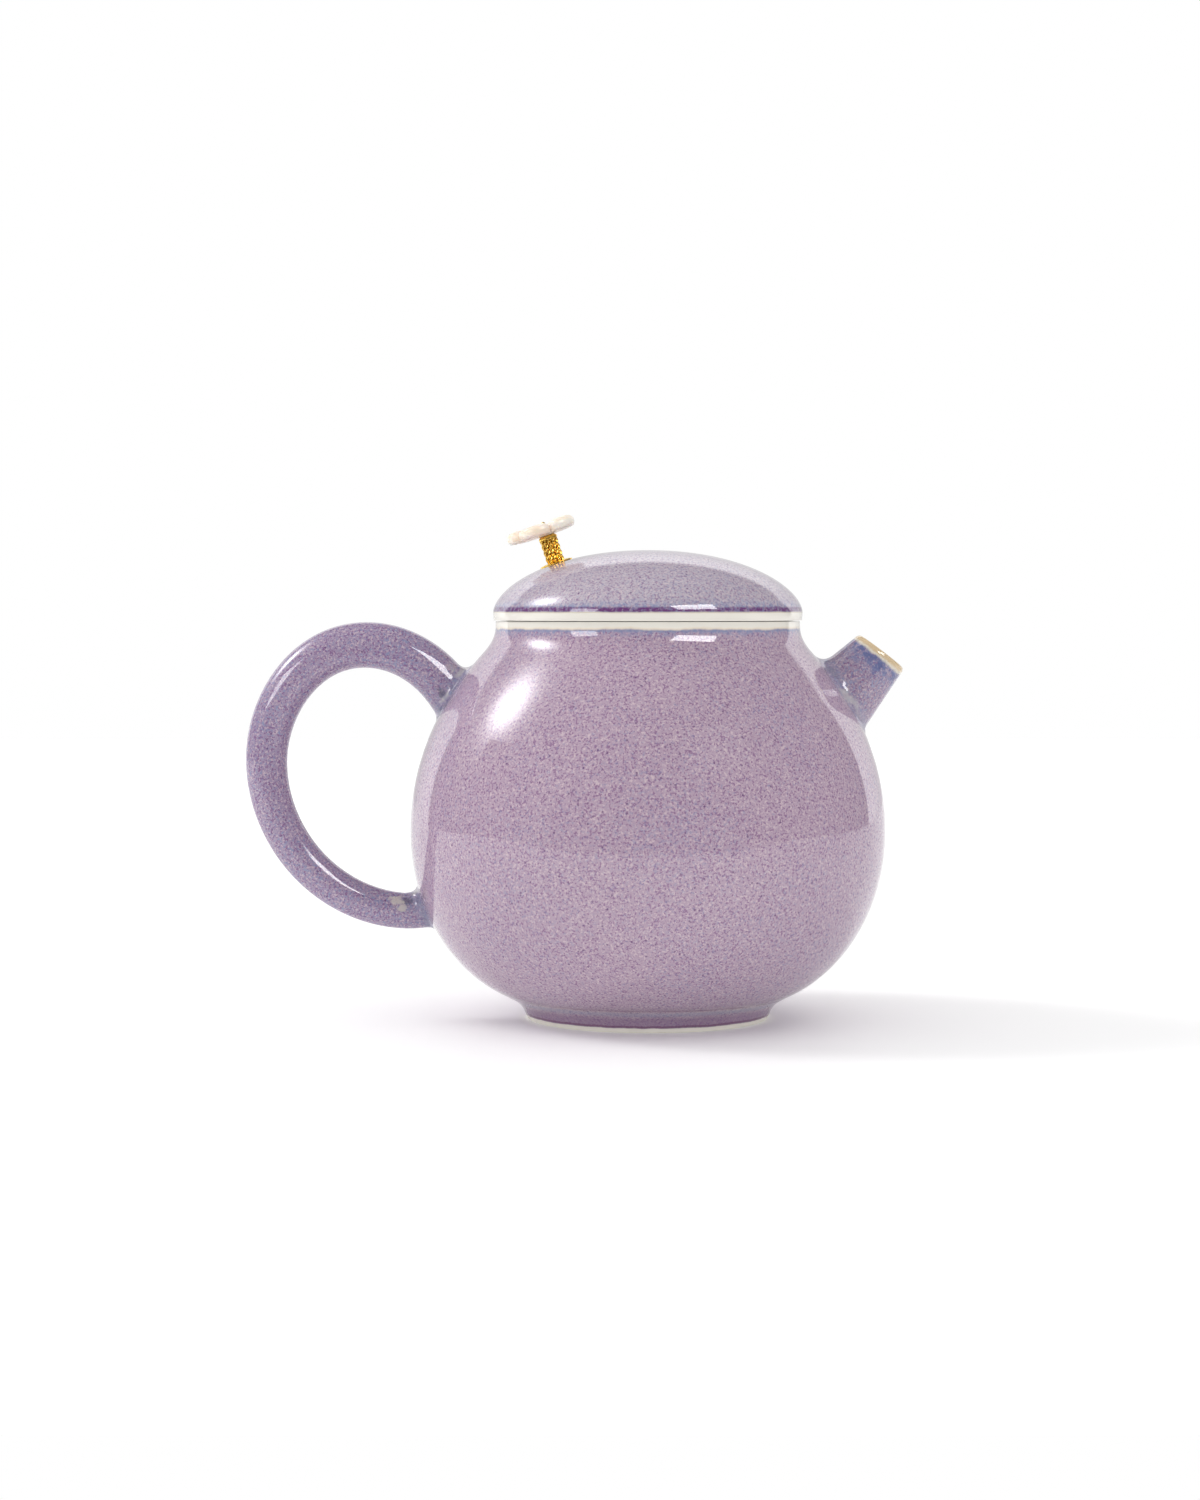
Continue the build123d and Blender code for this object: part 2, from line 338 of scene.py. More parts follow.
class Bench:
    """A node tree and the one way in which nodes are added to it."""

    def __init__(self, tree):
        self.tree = tree
        tree.nodes.clear()

    def add(self, kind, settings=None, values=None, output=0):
        node = self.tree.nodes.new(kind)
        for name, setting in (settings or {}).items():
            setattr(node, name, setting)
        for name, value in (values or {}).items():
            if isinstance(value, Wire):
                self.tree.links.new(value.socket, node.inputs[name])
            else:
                node.inputs[name].default_value = value
        return Wire(self, node.outputs[output])

    def vector(self, operation, first, second, output="Vector"):
        return self.add("ShaderNodeVectorMath", {"operation": operation}, {0: first, 1: second}, output)

    def noise(self, place, scale, detail=2.0, roughness=0.5):
        values = {"Vector": place, "Scale": scale, "Detail": detail, "Roughness": roughness}
        return self.add("ShaderNodeTexNoise", None, values)

    def step(self, value, low, high):
        """0 below low, 1 above high and smooth between them."""
        limits = {"Value": value, "From Min": low, "From Max": high}
        return self.add("ShaderNodeMapRange", {"interpolation_type": "SMOOTHSTEP"}, limits)

    def band(self, value, low, high, soft):
        """1 between low and high."""
        return self.step(value, low - soft, low + soft) * (1 - self.step(value, high - soft, high + soft))

    def tint(self, under, over, share):
        """One colour over another."""
        return self.add("ShaderNodeMix", {"data_type": "RGBA"}, {"Factor": share, 6: under, 7: over}, 2)

    def place(self):
        return self.add("ShaderNodeTexCoord", None, None, "Object")

    def mark(self, name):
        """A number that the mesh carries at each point."""
        return self.add("ShaderNodeAttribute", {"attribute_name": name}, None, "Fac")

    def relief(self, height, strength, depth):
        return self.add("ShaderNodeBump", None, {"Strength": strength, "Distance": depth, "Height": height})


def rgb(red, green, blue):
    """An sRGB colour as the linear one that a socket takes."""
    channels = [value / 255 for value in (red, green, blue)]
    return tuple(c / 12.92 if c <= 0.04045 else ((c + 0.055) / 1.055) ** 2.4 for c in channels) + (1.0,)


def material(name, **sockets):
    """A new material, its bench and its surface shader, whose plain sockets are set."""
    made = bpy.data.materials.new(name)
    made.use_nodes = True
    bench = Bench(made.node_tree)
    shade = bench.tree.nodes.new("ShaderNodeBsdfPrincipled")
    output = bench.tree.nodes.new("ShaderNodeOutputMaterial")
    bench.tree.links.new(shade.outputs[0], output.inputs[0])
    for socket, value in sockets.items():
        shade.inputs[socket.replace("_", " ")].default_value = value
    return made, bench, shade


def feed(bench, shade, **wires):
    for socket, wire in wires.items():
        bench.tree.links.new(wire.socket, shade.inputs[socket.replace("_", " ")])


# ---- finishes

MAUVE = rgb(174, 153, 170)
PLUM = rgb(118, 72, 124)
VIOLET = rgb(92, 58, 108)
SKY = rgb(126, 138, 172)
CREAM = rgb(216, 198, 200)
PORCELAIN = rgb(232, 228, 219)
TAN = rgb(206, 184, 150)
SLATE = rgb(98, 102, 126)
OLIVE = rgb(128, 104, 62)


def joint_distance(bench, place, point, direction, radius):
    """Millimetres from a joint's crease, measured square to the axis of the piece that is joined there."""
    offset = bench.vector("SUBTRACT", place, tuple(c * MM for c in point))
    across = bench.vector("CROSS_PRODUCT", offset, tuple(direction))
    return bench.vector("LENGTH", across, (0, 0, 0), "Value") / MM - radius


def glaze(name, mauve=MAUVE, blueness=0.22, plumness=0.5, dress=None):
    """The speckled glaze. dress adds what one piece alone has, and gives back colour and bare clay."""
    made, bench, shade = material(name, IOR=1.52, Specular_IOR_Level=0.5)
    place = bench.place()
    cloud = bench.noise(place, 40.0, 3.0, 0.6)
    mottle = bench.noise(place, 420.0, 2.0, 0.55)
    cast = bench.noise(place, 2000.0, 2.0, 0.65)
    grain = bench.noise(place, 2250.0, 2.0, 0.7)
    warm = bench.noise(bench.vector("ADD", place, (0.3, 0.1, 0.2)), 2350.0, 2.0, 0.65)
    colour = bench.tint(mauve, PLUM, bench.step(grain, 0.51, 0.59) * plumness * 1.25)
    colour = bench.tint(colour, CREAM, bench.step(warm, 0.53, 0.62) * 0.5)
    colour = bench.tint(colour, SKY, bench.step(cast + 0.3 * (cloud - 0.5), 0.54, 0.66) * blueness * 1.6)
    colour = bench.tint(colour, PLUM, bench.step(mottle + 0.5 * (cloud - 0.5), 0.42, 0.75) * 0.07)
    cells = {"Vector": place, "Scale": 1150.0}
    cell = bench.add("ShaderNodeTexVoronoi", None, cells, "Distance")
    chance = bench.add("ShaderNodeTexVoronoi", None, cells, "Color")
    chosen = bench.add("ShaderNodeSeparateColor", None, {"Color": chance})
    dots = (1 - bench.step(cell, 0.14, 0.32)) * bench.step(chosen, 0.86, 0.9)
    colour = bench.tint(colour, VIOLET, dots * 0.7)
    bare = None
    if dress:
        colour, bare = dress(bench, place, colour)
    waves = bench.noise(place, 70.0, 1.0, 0.4) * 0.4 + bench.noise(place, 700.0, 1.0, 0.4) * 0.01
    bump = bench.relief(waves, 0.35, 0.0002)
    rough = 0.03 + 0.035 * bench.step(mottle, 0.35, 0.8)
    if bare:
        rough = rough * (1 - bare) + 0.62 * bare
    feed(bench, shade, Base_Color=colour, Roughness=rough, Normal=bump)
    return made


def measured(bench, place, axis):
    """Millimetres along X or Z."""
    return bench.add("ShaderNodeSeparateXYZ", None, {"Vector": place}, axis) / MM


def pooled(bench, place, colour, distance, strength=1.0):
    """Glaze run into a crease: a pale blue halo, slate where it lies thick and cream where it ran thin."""
    ragged = (bench.noise(place, 420.0, 3.0, 0.6) - 0.5) * 2.2
    patch = bench.noise(place, 190.0, 2.0, 0.5)
    near = distance + ragged
    halo = 1 - bench.step(near, 0.4, 2.8)
    thick = (1 - bench.step(near, 0.2, 1.5)) * bench.step(patch, 0.48, 0.6)
    thin = bench.step(1 - patch, 0.53, 0.62) * (1 - bench.step(near, 0.5, 1.6))
    colour = bench.tint(colour, rgb(140, 146, 174), halo * 0.45 * strength)
    colour = bench.tint(colour, rgb(208, 205, 194), thin * 0.5 * strength)
    return bench.tint(colour, SLATE, thick * 0.55 * strength)


def dress_pot(bench, place, colour):
    height = measured(bench, place, "Z")
    side = measured(bench, place, "X")
    ragged = (bench.noise(place, 260.0, 3.0, 0.6) - 0.5) * 0.9
    edge = height + ragged
    for point, direction, radius, right in JOINTS:
        distance = joint_distance(bench, place, point, direction, radius)
        there = bench.step(side, 5.0, 9.0) if right else 1 - bench.step(side, -9.0, -5.0)
        colour = pooled(bench, place, colour, distance + 9.0 * (1 - there))
    fleck = bench.step(bench.noise(place, 1300.0, 2.0, 0.6), 0.38, 0.62)
    colour = bench.tint(colour, SKY, bench.step(edge, 73.4, 75.4) * fleck * 0.8)
    colour = bench.tint(colour, SKY, bench.band(height + ragged * 0.4, 74.8, 75.3, 0.15) * 0.55)
    bald = bench.step(edge, 75.05, 75.45)
    colour = bench.tint(colour, rgb(226, 214, 196), bald)
    colour = bench.tint(colour, PORCELAIN, bench.step(edge, 75.35, 75.8))
    # Painted shade: the bottom of the belly is darkened, a painted reflection of the shadowed floor under
    # the pot.
    colour = bench.tint(colour, rgb(140, 108, 142), (1 - bench.step(edge, 4.7, 6.2)) * 0.5)
    return colour, None


def dress_foot(bench, place, colour):
    height = measured(bench, place, "Z") + (bench.noise(place, 300.0, 3.0, 0.6) - 0.5) * 0.35
    colour = bench.tint(colour, rgb(140, 112, 146), (1 - bench.step(height, 2.4, 3.4)) * 0.55)
    # Painted shade: the top of the foot, where it meets the belly, is darkened plum, the same painted
    # reflection of the shadowed floor.
    colour = bench.tint(colour, rgb(120, 84, 124), bench.step(height, 4.35, 4.7) * 0.8)
    colour = bench.tint(colour, SKY, bench.band(height, 3.3, 4.2, 0.25) * 0.35)
    colour = bench.tint(colour, rgb(112, 70, 104), bench.band(height, 1.0, 1.4, 0.15) * 0.7)
    bare = 1 - bench.step(height, 0.8, 1.02)
    return bench.tint(colour, rgb(242, 238, 228), bare), bare


def dress_lid(bench, place, colour):
    height = measured(bench, place, "Z")
    ragged = (bench.noise(place, 240.0, 3.0, 0.65) - 0.5) * 0.9
    edge = height + ragged
    fleck = bench.step(bench.noise(place, 1300.0, 2.0, 0.6), 0.36, 0.6)
    colour = bench.tint(colour, SKY, (1 - bench.step(edge, 79.0, 81.2)) * fleck * 0.8)
    grit = bench.step(bench.noise(place, 1500.0, 2.0, 0.7), 0.4, 0.58)
    line = bench.band(height + ragged * 0.6, 78.5, 79.4, 0.25) * (0.5 + 0.5 * grit)
    colour = bench.tint(colour, rgb(104, 62, 112), line)
    colour = bench.tint(colour, rgb(206, 196, 178), 1 - bench.step(height + ragged * 0.3, 78.35, 78.6))
    colour = bench.tint(colour, PORCELAIN, 1 - bench.step(height + ragged * 0.2, 78.15, 78.4))
    return colour, None


THIN_SPOTS = (
    ((-38.3, -2.0, 67.0), 1.4),
    ((-49.6, -2.6, 24.0), 0.7),
    ((-48.3, -3.0, 22.9), 1.0),
    ((-47.3, -3.0, 21.4), 0.8),
)
THICK_SPOTS = (
    ((-37.0, -2.5, 66.0), 0.9),
    ((-39.7, -4.3, 63.0), 0.8),
    ((-46.2, -3.0, 23.2), 1.2),
    ((-36.5, -4.6, 60.0), 0.9),
)


def spotted(bench, place, colour, spots, tone, strength):
    """Ragged spots where the glaze lies thin or thick, each a point and its radius in millimetres."""
    ragged = (bench.noise(place, 620.0, 4.0, 0.7) - 0.5) * 3.4
    for point, radius in spots:
        away = bench.vector("DISTANCE", place, tuple(c * MM for c in point), "Value") / MM + ragged
        colour = bench.tint(colour, tone, (1 - bench.step(away, radius * 0.6, radius * 1.3)) * strength)
    return colour


def dress_handle(bench, place, colour):
    distance = bench.mark("crease")
    colour = pooled(bench, place, colour, distance, 0.8)
    colour = spotted(bench, place, colour, THICK_SPOTS, rgb(82, 84, 104), 0.6)
    return spotted(bench, place, colour, THIN_SPOTS, rgb(206, 200, 188), 0.65), None


def dress_spout(bench, place, colour):
    distance = bench.mark("crease")
    colour = pooled(bench, place, colour, distance, 0.7)
    below = bench.mark("below_lip")
    ragged = (bench.noise(place, 420.0, 4.0, 0.7) - 0.5) * 2.6
    runs = (bench.noise(place, 170.0, 2.0, 0.5) - 0.5) * 4.0
    fleck = bench.step(bench.noise(place, 800.0, 3.0, 0.7), 0.42, 0.6)
    blue = (1 - bench.step(below + ragged + runs, 1.6, 6.5)) * (0.15 + 0.75 * fleck)
    colour = bench.tint(colour, rgb(104, 116, 158), blue)
    colour = bench.tint(colour, rgb(76, 78, 124), bench.band(below + ragged, 1.5, 2.9, 0.4) * fleck * 0.35)
    colour = bench.tint(colour, rgb(214, 206, 190), 1 - bench.step(below + ragged * 0.45, 0.9, 1.5))
    colour = bench.tint(colour, TAN, 1 - bench.step(below + ragged * 0.3, 0.5, 0.9))
    colour = bench.tint(colour, OLIVE, bench.band(below, -0.6, -0.15, 0.12) * 0.6)
    return colour, None


HANDLE_LINE = b_spline(HANDLE_POLES, HANDLE_KNOTS, np.linspace(0, 1, 401))
HANDLE_ALONG = unit(np.gradient(HANDLE_LINE, axis=0))
HANDLE_LENGTH = np.linalg.norm(np.diff(HANDLE_LINE, axis=0), axis=1).sum()
SPOUT_AXIS = np.array((math.cos(SPOUT_RISE), 0, math.sin(SPOUT_RISE)))
SPOUT_ACROSS = np.array((math.sin(SPOUT_RISE), 0, -math.cos(SPOUT_RISE)))
SPOUT_POINT = np.array(SPOUT_FOOT)

# Each joint on the belly: a point on the joined piece's axis, the axis, its radius there, and is it at +X.
JOINTS = [
    ((-37.8, 0, 62.5), (HANDLE_ALONG[4][0], 0, HANDLE_ALONG[4][1]), HANDLE_TOP_R, False),
    ((-42.9, 0, 20.8), (HANDLE_ALONG[-4][0], 0, HANDLE_ALONG[-4][1]), HANDLE_BOTTOM_R, False),
    (SPOUT_FOOT, SPOUT_AXIS, SPOUT_MOUTH_R + SPOUT_FLARE * (SPOUT_LENGTH + 2.2), True),
]

belly_glaze = glaze("belly_glaze", dress=dress_pot)
foot_glaze = glaze("foot_glaze", dress=dress_foot)
lid_glaze = glaze("lid_glaze", mauve=rgb(180, 171, 182), plumness=0.46, dress=dress_lid)
handle_glaze = glaze("handle_glaze", rgb(154, 139, 164), 0.45, 0.55, dress_handle)
spout_glaze = glaze("spout_glaze", rgb(156, 140, 160), 0.4, 0.5, dress_spout)
inner_glaze = glaze("inner_glaze", rgb(190, 170, 186), 0.2, 0.4)


def metal(name, colour, worn, roughness, scratches):
    made, bench, shade = material(name, Metallic=1.0)
    place = bench.place()
    patina = bench.noise(place, 900.0, 4.0, 0.6)
    fine = bench.noise(place, 6000.0, 2.0, 0.6)
    tone = bench.tint(colour, worn, bench.step(patina, 0.45, 0.75) * 0.6)
    bump = bench.relief(fine, scratches, 0.00002)
    rough = roughness + 0.12 * bench.step(patina, 0.4, 0.7)
    feed(bench, shade, Base_Color=tone, Roughness=rough, Normal=bump)
    return made


gold = metal("gold_brass", rgb(255, 214, 104), rgb(232, 172, 60), 0.18, 0.15)
steel = metal("turned_steel", rgb(196, 196, 198), rgb(160, 160, 164), 0.24, 0.5)


def shell_finish():
    """Carved mother-of-pearl: milky, with faint growth lines and a rosy and green sheen."""
    made, bench, shade = material(
        "mother_of_pearl", IOR=1.53, Subsurface_Weight=0.35, Subsurface_Scale=0.0012
    )
    shade.inputs["Subsurface Radius"].default_value = (1.0, 0.85, 0.7)
    place = bench.place()
    stretched = bench.add(
        "ShaderNodeMapping", None, {"Vector": place, "Rotation": (0.3, 0.5, 0.2), "Scale": (1.0, 1.0, 3.0)}
    )
    drift = bench.noise(stretched, 150.0, 2.0, 0.5)
    lines = bench.noise(stretched, 420.0, 2.0, 0.5)
    colour = bench.tint(rgb(252, 240, 224), rgb(242, 222, 200), bench.step(drift, 0.42, 0.62) * 0.8)
    colour = bench.tint(colour, rgb(236, 222, 228), bench.step(lines, 0.52, 0.66) * 0.35)
    colour = bench.tint(colour, rgb(226, 236, 228), bench.step(1 - drift, 0.5, 0.62) * 0.3)
    bump = bench.relief(drift, 0.12, 0.0001)
    feed(bench, shade, Base_Color=colour, Roughness=0.24 + 0.16 * lines, Normal=bump)
    return made


def silicone_finish():
    made, bench, shade = material("silicone", Subsurface_Weight=0.3, Subsurface_Scale=0.001)
    place = bench.place()
    bloom = bench.noise(place, 1500.0, 3.0, 0.6)
    bump = bench.relief(bloom, 0.3, 0.00003)
    colour = bench.tint(rgb(226, 224, 220), rgb(206, 203, 198), bloom)
    feed(bench, shade, Base_Color=colour, Roughness=0.42 + 0.2 * bloom, Normal=bump)
    return made


mother_of_pearl = shell_finish()
silicone = silicone_finish()

# ---- pot: belly and foot

outside = SKIN[::-1][::2]
inner_wall = INSIDE[INSIDE[:, 1] > FLOOR + 0.3][::2]
MOUTH_R = RIM_R - WALL
rim = rounded(
    [(RIM_R, SEAT - 2, 0), (RIM_R, SEAT, GLAZED_EDGE), (MOUTH_R, SEAT, GLAZED_EDGE), (MOUTH_R, 74, 0)]
)
floor_line = [(radius, FLOOR) for radius in (20.0, 14.0, 7.0, 0.0)]
under_line = [(radius, FOOT_HEIGHT) for radius in (0.0, 8.0, 16.0, 24.3)]
pot_profile = under_line + list(outside) + rim[1:-1] + list(inner_wall) + floor_line
belly = turned("belly", pot_profile)

FOOT_TOP_R = 27.5
FLARE_START = (24.0, 1.7)
foot_join = np.interp(FOOT_TOP_R, SKIN[:300:-1, 0], SKIN[:300:-1, 1])
flare = bezier([FLARE_START, (24.7, 3.25), (FOOT_TOP_R, foot_join - 0.02)], np.linspace(0, 1, 14))
sole = [(FOOT_INNER_R, FOOT_HEIGHT, 0), (FOOT_INNER_R + 0.5, 0, 0.5), (FOOT_BOTTOM_R, 0, 0.45)]
sole = rounded([*sole, (*FLARE_START, 0)], 8)
hidden = [(FOOT_TOP_R - 0.4, foot_join + 0.5), (FOOT_INNER_R, FOOT_HEIGHT + 0.3)]
foot = turned("foot", sole[:-1] + list(flare) + hidden, closed=True, sharp=math.radians(50))

# ---- joints on the belly


def crossing(path, start, end, radius_at):
    """Where a path leaves the turned surface: between start, inside it, and end, outside it."""
    for _ in range(40):
        middle = (start + end) / 2
        point = path(middle)
        if math.hypot(point[0], point[1]) > radius_at(point[2]):
            end = middle
        else:
            start = middle
    return end


def skirt(path, start, end, outward, fillet, rows=12):
    """One column of a joint's fillet, from the joined piece down to the belly.

    Gives back the place on the path where it starts, its points and their distances from the crease."""
    place = crossing(path, start, end, belly_radius)
    crease = path(place)
    nudge = (end - start) * 0.01
    along = path(place + nudge) - crease
    pace = np.linalg.norm(along) / nudge
    along = along / np.linalg.norm(along)
    normal = belly_normal(crease)
    away = unit(outward - normal * (outward @ normal))
    opening = math.acos(np.clip(along @ away, -1, 1))
    reach = min(fillet / math.tan(opening / 2), 1.6 * fillet)
    top = path(place + reach / pace)
    foot_point = crease + away * reach
    level = math.hypot(foot_point[0], foot_point[1])
    foot_point[:2] *= belly_radius(foot_point[2]) / level
    foot_point -= belly_normal(foot_point) * 0.03
    column = bezier([top, crease, foot_point], np.linspace(0, 1, rows))
    distances = reach * np.abs(np.linspace(1, -1, rows)) * 0.8
    return place + reach / pace, column, distances


HANDLE_COLUMNS = 72
HANDLE_ROWS = 170


def handle_point(place, angle):
    """A point of the handle's skin. The line runs on straight beyond its two ends."""
    kept = min(max(place, 0.0), 1.0)
    steps = np.arange(len(HANDLE_LINE))
    index = kept * (len(HANDLE_LINE) - 1)
    centre = np.array([np.interp(index, steps, HANDLE_LINE[:, axis]) for axis in (0, 1)])
    along = unit(np.array([np.interp(index, steps, HANDLE_ALONG[:, axis]) for axis in (0, 1)]))
    centre = centre + along * (place - kept) * HANDLE_LENGTH
    radius = HANDLE_TOP_R + (HANDLE_BOTTOM_R - HANDLE_TOP_R) * kept
    out = math.cos(angle) * radius
    return np.array((centre[0] - along[1] * out, math.sin(angle) * radius, centre[1] + along[0] * out))


def handle_skin():
    columns, marks = [], []
    for column in range(HANDLE_COLUMNS):
        angle = column * math.tau / HANDLE_COLUMNS
        path = lambda place: handle_point(place, angle)
        sideways = unit(path(0.02) - handle_point(0.02, angle + math.pi))
        top_place, top_points, top_marks = skirt(path, -0.06, 0.2, sideways, HANDLE_FILLET)
        back = lambda place: handle_point(1 - place, angle)
        sideways = unit(back(0.02) - handle_point(0.98, angle + math.pi))
        low_place, low_points, low_marks = skirt(back, -0.06, 0.2, sideways, HANDLE_FILLET)
        places = np.linspace(top_place, 1 - low_place, HANDLE_ROWS)
        middle = np.array([path(place) for place in places])
        run = np.minimum(places - top_place, 1 - low_place - places) * HANDLE_LENGTH
        columns.append(np.vstack([top_points[::-1], middle[1:-1], low_points]))
        marks.append(np.concatenate([top_marks[::-1], top_marks[0] + run[1:-1], low_marks]))
    return np.array(columns).transpose(1, 0, 2), np.array(marks).T


handle_rows, handle_marks = handle_skin()
handle = tube("handle_loop", handle_rows[:, ::-1], crease=handle_marks[:, ::-1].ravel())

# ---- spout and strainer

SPOUT_COLUMNS = 96


def spout_point(along, radius, angle):
    ring = SPOUT_ACROSS * math.cos(angle) + np.array((0, math.sin(angle), 0))
    return SPOUT_POINT + SPOUT_AXIS * along + ring * radius


def spout_outer_r(along):
    return SPOUT_MOUTH_R + SPOUT_FLARE * (SPOUT_LENGTH - along)


def spout_skin():
    columns, crease_marks, lip_marks = [], [], []
    for column in range(SPOUT_COLUMNS):
        angle = column * math.tau / SPOUT_COLUMNS
        top = SPOUT_LENGTH + SPOUT_MOUTH_R * math.cos(angle) * math.tan(SPOUT_LIP_TILT)
        path = lambda along: spout_point(along, spout_outer_r(along), angle)
        sideways = unit(spout_point(0, 1, angle) - SPOUT_POINT)
        start, points, marks = skirt(path, -8.0, 4.0, sideways, SPOUT_FILLET)
        wall = [path(along) for along in np.linspace(start, top - SPOUT_LIP, 22)[1:]]
        outer = spout_outer_r(top)
        lip = []
        for turn in np.linspace(0, math.pi / 2, 7)[1:]:
            reach = SPOUT_LIP * (1 - math.cos(turn))
            lip.append(spout_point(top - SPOUT_LIP + SPOUT_LIP * math.sin(turn), outer - reach, angle))
        for turn in np.linspace(0, math.pi / 2, 7):
            reach = SPOUT_LIP * (1 - math.sin(turn))
            lip.append(spout_point(top - SPOUT_LIP + SPOUT_LIP * math.cos(turn), BORE_R + reach, angle))
        inner_path = lambda along: spout_point(
            along, BORE_R + max(0.0, BORE_BOTTOM - along) * (PASSAGE_R - BORE_R) / 2.6, angle
        )
        deep = crossing(inner_path, -6.0, 3.0, belly_radius)
        bore = [inner_path(along) for along in np.linspace(top - SPOUT_LIP, deep - 0.02, 16)[1:]]
        columns.append(np.vstack([points[::-1], wall, lip, bore]))
        run = np.linspace(0, top - SPOUT_LIP - start, 22)[1:]
        beyond = [20.0] * (len(lip) + len(bore))
        crease_marks.append(np.concatenate([marks[::-1], marks[0] + run, beyond]))
        from_lip = [9.0] * len(points) + list((top - SPOUT_LIP - start) - run + 0.3)
        ring = [0.25 - 0.04 * step for step in range(6)] + [-0.3 - 0.05 * step for step in range(7)]
        inside = [2.4 * step for step in range(len(bore))]
        lip_marks.append(from_lip + ring + inside)
    return np.array(columns).transpose(1, 0, 2), np.array(crease_marks).T, np.array(lip_marks).T


spout_rows, spout_marks, spout_lip_marks = spout_skin()
spout = tube(
    "spout_cone",
    spout_rows[:, ::-1],
    closed=True,
    crease=spout_marks[:, ::-1].ravel(),
    below_lip=spout_lip_marks[:, ::-1].ravel(),
)

passage_rows = [
    [spout_point(along, PASSAGE_R, column * math.tau / 64) for column in range(64)] for along in (-12, 2)
]
belly = cut(belly, tube("passage_cutter", np.array(passage_rows)[:, ::-1]), math.radians(40))


def strainer_bowl():
    """A dome behind the passage, drawn on until it is sunk in the belly's inner wall."""
    columns = []
    for column in range(64):
        angle = column * math.tau / 64
        column_points = []
        outer_path = lambda along: spout_point(along, STRAINER_R, angle)
        inner_path = lambda along: spout_point(along, STRAINER_R - STRAINER_WALL, angle)
        outer_end = crossing(outer_path, -12.0, 6.0, cavity_radius) + 0.4
        inner_end = crossing(inner_path, -12.0, 6.0, cavity_radius) + 0.4
        for turn in np.linspace(0.03, math.pi / 2, 20):
            along = STRAINER_CENTRE - STRAINER_R * math.cos(turn)
            column_points.append(spout_point(along, STRAINER_R * math.sin(turn), angle))
        for along in np.linspace(STRAINER_CENTRE, outer_end, 6)[1:]:
            column_points.append(outer_path(along))
        for along in np.linspace(inner_end, STRAINER_CENTRE, 6)[:-1]:
            column_points.append(inner_path(along))
        thin = STRAINER_R - STRAINER_WALL
        for turn in np.linspace(math.pi / 2, 0.03, 20):
            along = STRAINER_CENTRE - thin * math.cos(turn)
            column_points.append(spout_point(along, thin * math.sin(turn), angle))
        columns.append(column_points)
    return np.array(columns).transpose(1, 0, 2)


strainer = tube("strainer_dome", strainer_bowl())

# ---- geometry node trees


def node_group(name, sockets):
    """A geometry node tree with named inputs, its bench and its input node."""
    tree = bpy.data.node_groups.new(name, "GeometryNodeTree")
    bench = Bench(tree)
    tree.interface.new_socket("Geometry", in_out="INPUT", socket_type="NodeSocketGeometry")
    tree.interface.new_socket("Geometry", in_out="OUTPUT", socket_type="NodeSocketGeometry")
    for label, kind in sockets.items():
        tree.interface.new_socket(label, in_out="INPUT", socket_type=kind)
    start = tree.nodes.new("NodeGroupInput")
    return bench, {label: Wire(bench, start.outputs[label]) for label in ["Geometry", *sockets]}


def close_group(bench, geometry, finish):
    """Ends a tree in real geometry with its material set."""
    real = bench.add("GeometryNodeRealizeInstances", None, {"Geometry": geometry})
    dressed = bench.add("GeometryNodeSetMaterial", None, {"Geometry": real, "Material": finish})
    end = bench.tree.nodes.new("NodeGroupOutput")
    bench.tree.links.new(dressed.socket, end.inputs[0])


def grown(thing, group, values, name):
    """The plain mesh that a tree makes of a piece."""
    modifier = thing.modifiers.new(name, "NODES")
    modifier.node_group = group
    for item in group.interface.items_tree:
        if item.in_out == "INPUT" and item.name in values:
            modifier[item.identifier] = values[item.name]
    view = bpy.context.evaluated_depsgraph_get()
    made = bpy.data.meshes.new_from_object(thing.evaluated_get(view))
    thing.modifiers.remove(modifier)
    thing.data = made
    thing.name = name
    return thing


def strainer_tree(finish):
    """Holes through a dome, in rings about its axis, which the piece has along its own -Z."""
    bench, inlet = node_group("strainer_holes", dict.fromkeys(("Hole Radius", "Reach"), "NodeSocketFloat"))
    sizes = {"Vertices": 20, "Radius": inlet["Hole Radius"], "Depth": inlet["Reach"]}
    drill = bench.add("GeometryNodeMeshCylinder", None, sizes)
    drills = []
    for angle, holes in ((22, 6), (42, 11), (62, 13)):
        radians = math.radians(angle)
        ring_r = inlet["Reach"] * math.sin(radians)
        ring = bench.add("GeometryNodeMeshCircle", None, {"Vertices": holes, "Radius": ring_r})
        drop = bench.add("ShaderNodeCombineXYZ", None, {"Z": inlet["Reach"] * -math.cos(radians)})
        lowered = bench.add("GeometryNodeTransform", None, {"Geometry": ring, "Translation": drop})
        place = bench.add("GeometryNodeInputPosition")
        aim = bench.add("FunctionNodeAlignEulerToVector", {"axis": "Z"}, {"Vector": place})
        row = {"Points": lowered, "Instance": drill, "Rotation": aim}
        drills.append(bench.add("GeometryNodeInstanceOnPoints", None, row))
    drop = bench.add("ShaderNodeCombineXYZ", None, {"Z": inlet["Reach"] * -1.0})
    drills.append(bench.add("GeometryNodeTransform", None, {"Geometry": drill, "Translation": drop}))
    joined = bench.tree.nodes.new("GeometryNodeJoinGeometry")
    for one in drills:
        bench.tree.links.new(one.socket, joined.inputs[0])
    solid = bench.add("GeometryNodeRealizeInstances", None, {"Geometry": Wire(bench, joined.outputs[0])})
    holed = bench.tree.nodes.new("GeometryNodeMeshBoolean")
    holed.operation = "DIFFERENCE"
    bench.tree.links.new(inlet["Geometry"].socket, holed.inputs["Mesh 1"])
    bench.tree.links.new(solid.socket, holed.inputs["Mesh 2"])
    close_group(bench, Wire(bench, holed.outputs[0]), finish)
    return bench.tree


